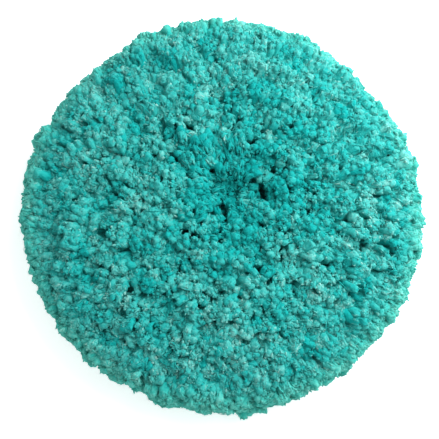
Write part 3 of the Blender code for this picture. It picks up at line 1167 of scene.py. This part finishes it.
def wool_material():
    """Dyed teal wool, paler at the tips, with fibres along each ply, painted shade low in the pile, in gaps
    and creases, and painted light at the rim.
    """
    made, tree, shader = new_material("wool")
    link = tree.links.new
    nearness, tone, rim_light = xyz(tree, attribute(tree, "yarn"))
    strand = attribute(tree, "strand")

    stretch = tree.nodes.new("ShaderNodeVectorMath")
    stretch.operation = "MULTIPLY"
    stretch.inputs[1].default_value = FIBRE_STRETCH
    link(strand, stretch.inputs[0])
    fibres = noise_of(tree, stretch.outputs[0], FIBRE_SCALE)
    streak = math_node(tree, "MULTIPLY_ADD", fibres, STREAK, -STREAK / 2)
    dye = ramp(tree, DYE)
    link(math_node(tree, "ADD", tone, streak), dye.inputs["Fac"])
    # Painted light: the wool is paler at the rim
    share = math_node(tree, "MULTIPLY", rim_light, RIM_LIGHT_SHARE)
    rim_lit = mix_node(tree, "MIX", share, dye.outputs["Color"], RIM_LIGHT_TINT)

    # Painted shade: darker low in the pile, on the plies' inward sides and deep in the dark gaps
    depth = ramp(tree, DEPTH_SHADE)
    link(nearness, depth.inputs["Fac"])
    shaded = mix_node(tree, "MULTIPLY", 1.0, rim_lit, depth.outputs["Color"])
    grain = noise_of(tree, strand, GRAIN_SCALE, 2)
    # Painted shade in the creases between the granules
    crease_shade = ramp(tree, CREASE_SHADE)
    link(grain, crease_shade.inputs["Fac"])
    link(mix_node(tree, "MULTIPLY", 1.0, shaded, crease_shade.outputs["Color"]), shader.inputs["Base Color"])

    height = math_node(tree, "MULTIPLY_ADD", fibres, FIBRE_HEIGHT, grain)
    raise_skin(tree, shader, height, 0.5, 0.0007)
    shader.inputs["Roughness"].default_value = 0.95
    shader.inputs["Specular IOR Level"].default_value = 0.05
    shader.inputs["Sheen Weight"].default_value = 0.12
    shader.inputs["Sheen Roughness"].default_value = 0.5
    shader.inputs["Sheen Tint"].default_value = (0.25, 0.95, 0.88, 1)
    return made


def wave_of(tree, coordinate, pitch):
    """A sine of a coordinate that repeats every pitch."""
    return math_node(tree, "SINE", math_node(tree, "MULTIPLY", coordinate, 2 * math.pi / pitch))


def cloth_material(name, stops, pattern, scales, bump_height, roughness, specular=0.5, sheen=0.0):
    """Cloth, felt or rubber, coloured by the ramp's stops and raised by a pattern and two noises.

    The pattern is None, or a function of the tree.
    """
    made, tree, shader = new_material(name)
    place = object_place(tree)
    coarse, fine = [noise_of(tree, place, scale) for scale in scales]
    height = math_node(tree, "MULTIPLY_ADD", fine, 0.6, math_node(tree, "MULTIPLY", coarse, 0.4))
    if pattern:
        height = math_node(tree, "MULTIPLY_ADD", height, 0.45, pattern(tree))
    colours = ramp(tree, stops)
    tree.links.new(height, colours.inputs["Fac"])
    tree.links.new(colours.outputs["Color"], shader.inputs["Base Color"])
    raise_skin(tree, shader, height, 0.8, bump_height)
    worn = tree.nodes.new("ShaderNodeMapRange")
    worn.inputs["To Min"].default_value = roughness - 0.08
    worn.inputs["To Max"].default_value = roughness + 0.05
    tree.links.new(coarse, worn.inputs["Value"])
    tree.links.new(worn.outputs["Result"], shader.inputs["Roughness"])
    shader.inputs["Specular IOR Level"].default_value = specular
    shader.inputs["Sheen Weight"].default_value = sheen
    return made


def woven(tree, height):
    """A height from -1 to 1, brought to between 0 and about 0.55."""
    return math_node(tree, "MULTIPLY_ADD", height, 0.27, 0.27)


def plain_weave(tree):
    """Over and under threads that run along X and Y."""
    waves = [wave_of(tree, along, WEAVE_PITCH) for along in xyz(tree, object_place(tree))[:2]]
    return woven(tree, math_node(tree, "MULTIPLY", *waves))


def twill(tree):
    """Slanting ribs along the tape."""
    along, across = xyz(tree, attribute(tree, "cloth"))[:2]
    ribs = wave_of(tree, math_node(tree, "ADD", along, across), WEAVE_PITCH)
    threads = wave_of(tree, along, WEAVE_PITCH / 2)
    return woven(tree, math_node(tree, "MULTIPLY_ADD", ribs, 0.7, math_node(tree, "MULTIPLY", threads, 0.3)))


def canvas_material():
    """The unbleached tufting canvas."""
    stops = [(0.0, (0.20, 0.19, 0.16)), (0.5, (0.42, 0.40, 0.34)), (1.0, (0.62, 0.59, 0.52))]
    return cloth_material("canvas", stops, plain_weave, (60, 1500), 0.0002, 0.9, specular=0.1)


def latex_material():
    """Dried latex: yellowish, lumpy and slightly shiny."""
    stops = [(0.3, (0.50, 0.44, 0.28)), (0.5, (0.68, 0.62, 0.45)), (0.7, (0.80, 0.76, 0.62))]
    return cloth_material("latex", stops, None, (180, 700), 0.0003, 0.5, specular=0.4)


def felt_material():
    """Grey needled felt."""
    stops = [(0.3, (0.28, 0.28, 0.27)), (0.5, (0.42, 0.42, 0.40)), (0.7, (0.56, 0.56, 0.54))]
    return cloth_material("felt", stops, None, (90, 1900), 0.0003, 0.93, sheen=0.2)


def tape_material():
    """The dyed twill tape of both bindings."""
    stops = [(0.0, (0.006, 0.11, 0.105)), (0.5, (0.016, 0.22, 0.205)), (1.0, (0.050, 0.36, 0.33))]
    return cloth_material("binding_tape", stops, twill, (70, 2200), 0.00018, 0.8, specular=0.2, sheen=0.15)


def loop_material():
    """The white brushed loop fabric, greyer low down."""
    stops = [(0.25, (0.50, 0.51, 0.50)), (0.5, (0.70, 0.71, 0.70)), (0.75, (0.84, 0.85, 0.84))]
    return cloth_material("loop_fabric", stops, None, (80, 1600), 0.0002, 0.88, specular=0.2, sheen=0.3)


def thread_material():
    """White polyester sewing thread, with its twist."""
    stops = [(0.2, (0.60, 0.61, 0.58)), (0.5, (0.78, 0.79, 0.76)), (0.8, (0.88, 0.89, 0.87))]
    return cloth_material("thread", stops, None, (400, 5000), 0.00008, 0.55, specular=0.45)


def floor_material():
    """The pale, faintly lit floor, with the grain of a paper sweep."""
    made, tree, shader = new_material("pale_floor")
    grain = ramp(tree, [(0.3, (0.94, 0.94, 0.94)), (0.7, (0.96, 0.96, 0.96))])
    tree.links.new(noise_of(tree, object_place(tree), 400), grain.inputs["Fac"])
    tree.links.new(grain.outputs["Color"], shader.inputs["Base Color"])
    shader.inputs["Roughness"].default_value = 0.9
    shader.inputs["Emission Color"].default_value = (1, 1, 1, 1)
    shader.inputs["Emission Strength"].default_value = FLOOR_GLOW
    return made


# ---- floor, light and camera

def aim_object(thing, place, aim):
    """Puts a light or a camera at place, so that it looks at aim."""
    thing.location = place
    thing.rotation_euler = (Vector(aim) - Vector(place)).to_track_quat("-Z", "Y").to_euler()


def make_stage():
    """A pale floor under the pad."""
    mesh = bpy.data.meshes.new("floor")
    corners = [(x * FLOOR_REACH, y * FLOOR_REACH, 0) for x, y in ((-1, -1), (1, -1), (1, 1), (-1, 1))]
    mesh.from_pydata(corners, [], [(0, 1, 2, 3)])
    mesh.materials.append(floor_material())
    floor = link_object("floor", mesh)


def make_lights():
    """Soft studio light: a key from the right and behind, a wide top light, and a bright room."""
    for name, (place, aim, size, watts) in LIGHTS.items():
        data = bpy.data.lights.new(name, "AREA")
        data.size = size
        data.energy = watts
        aim_object(link_object(name, data), place, aim)
    world = bpy.data.worlds.new("room")
    world.use_nodes = True
    tree = world.node_tree
    up = xyz(tree, tree.nodes.new("ShaderNodeTexCoord").outputs["Generated"])["Z"]
    walls = ramp(tree, WALLS)
    tree.links.new(up, walls.inputs["Fac"])
    tree.links.new(walls.outputs["Color"], tree.nodes["Background"].inputs["Color"])
    bpy.context.scene.world = world
    bpy.context.scene.view_settings.view_transform = "Standard"


def make_camera():
    """The photograph's view: from high above the near edge."""
    data = bpy.data.cameras.new("camera")
    data.lens = CAMERA_LENS
    camera = link_object("camera", data)
    away = Vector((0, -math.cos(CAMERA_ELEVATION), math.sin(CAMERA_ELEVATION)))
    aim_object(camera, CAMERA_AIM + away * CAMERA_DISTANCE, CAMERA_AIM)
    bpy.context.scene.camera = camera


make_pile(wool_material())
make_backing()
make_stage()
make_lights()
make_camera()
